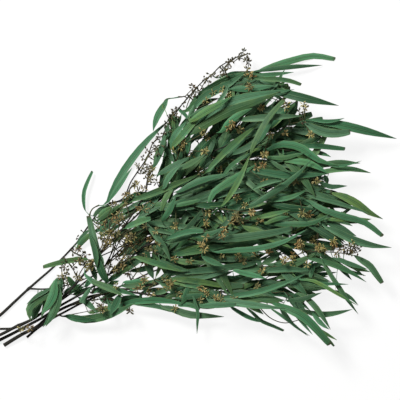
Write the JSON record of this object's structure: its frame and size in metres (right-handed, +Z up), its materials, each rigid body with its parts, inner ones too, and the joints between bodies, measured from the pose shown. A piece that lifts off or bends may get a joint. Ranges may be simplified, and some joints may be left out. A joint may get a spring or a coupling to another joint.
{
  "type": "dried eucalyptus bunch",
  "caption": "loose bunch of dried seeded eucalyptus lying flat, its cut stems gathered at one end and long narrow leaves and umbels of pointed buds fanning out at the other",
  "frame": {"origin": "middle of the surface that the bunch lies on", "axes": "+X across the fan of leaves, with the gathered stems toward -X and -Y and the leaf tips toward +X and +Y; +Z up"},
  "size_m": [0.6556, 0.4803, 0.0772],
  "materials": {
    "wood": "dry dark bark, matt",
    "leaf": "dried and preserved, dull green with a faint sheen",
    "bud": "dry ochre seed case, matt"
  },
  "bodies": {
    "root": {"EdgeBranchBudSpray4": "bud", "EdgeBranchBudSpray5": "bud", "EdgeBranchBudSpray6": "bud", "EdgeBranchShoot1": "leaf", "EdgeBranchShoot2": "leaf", "EdgeBranchShoot3": "leaf", "EdgeBranchWood": "wood", "LowerBranchShoot1": "leaf", "LowerBranchShoot2": "leaf", "LowerBranchShoot3": "leaf", "LowerBranchShoot4": "leaf", "LowerBranchShoot5": "leaf", "LowerBranchShoot6": "leaf", "LowerBranchShoot7": "leaf", "LowerBranchShoot8": "leaf", "LowerBranchShoot9": "leaf", "LowerBranchWood": "wood", "MiddleBranchShoot1": "leaf", "MiddleBranchShoot2": "leaf", "MiddleBranchShoot3": "leaf", "MiddleBranchShoot4": "leaf", "MiddleBranchShoot5": "leaf", "MiddleBranchShoot6": "leaf", "MiddleBranchShoot7": "leaf", "MiddleBranchShoot8": "leaf", "MiddleBranchShoot9": "leaf", "MiddleBranchWood": "wood", "ShortBranchShoot1": "leaf", "ShortBranchShoot2": "leaf", "ShortBranchShoot3": "leaf", "ShortBranchShoot4": "leaf", "ShortBranchShoot5": "leaf", "ShortBranchWood": "wood", "ThinBranchShoot1": "leaf", "ThinBranchShoot2": "leaf", "ThinBranchShoot3": "leaf", "ThinBranchShoot4": "leaf", "ThinBranchShoot5": "leaf", "ThinBranchShoot6": "leaf", "ThinBranchWood": "wood", "UpperBranchBudSpray16": "bud", "UpperBranchBudSpray17": "bud", "UpperBranchBudSpray18": "bud", "UpperBranchBudSpray19": "bud", "UpperBranchShoot1": "leaf", "UpperBranchShoot10": "leaf", "UpperBranchShoot11": "leaf", "UpperBranchShoot12": "leaf", "UpperBranchShoot13": "leaf", "UpperBranchShoot14": "leaf", "UpperBranchShoot15": "leaf", "UpperBranchShoot2": "leaf", "UpperBranchShoot3": "leaf", "UpperBranchShoot4": "leaf", "UpperBranchShoot5": "leaf", "UpperBranchShoot6": "leaf", "UpperBranchShoot7": "leaf", "UpperBranchShoot8": "leaf", "UpperBranchShoot9": "leaf", "UpperBranchWood": "wood"}
  },
  "joints": []
}
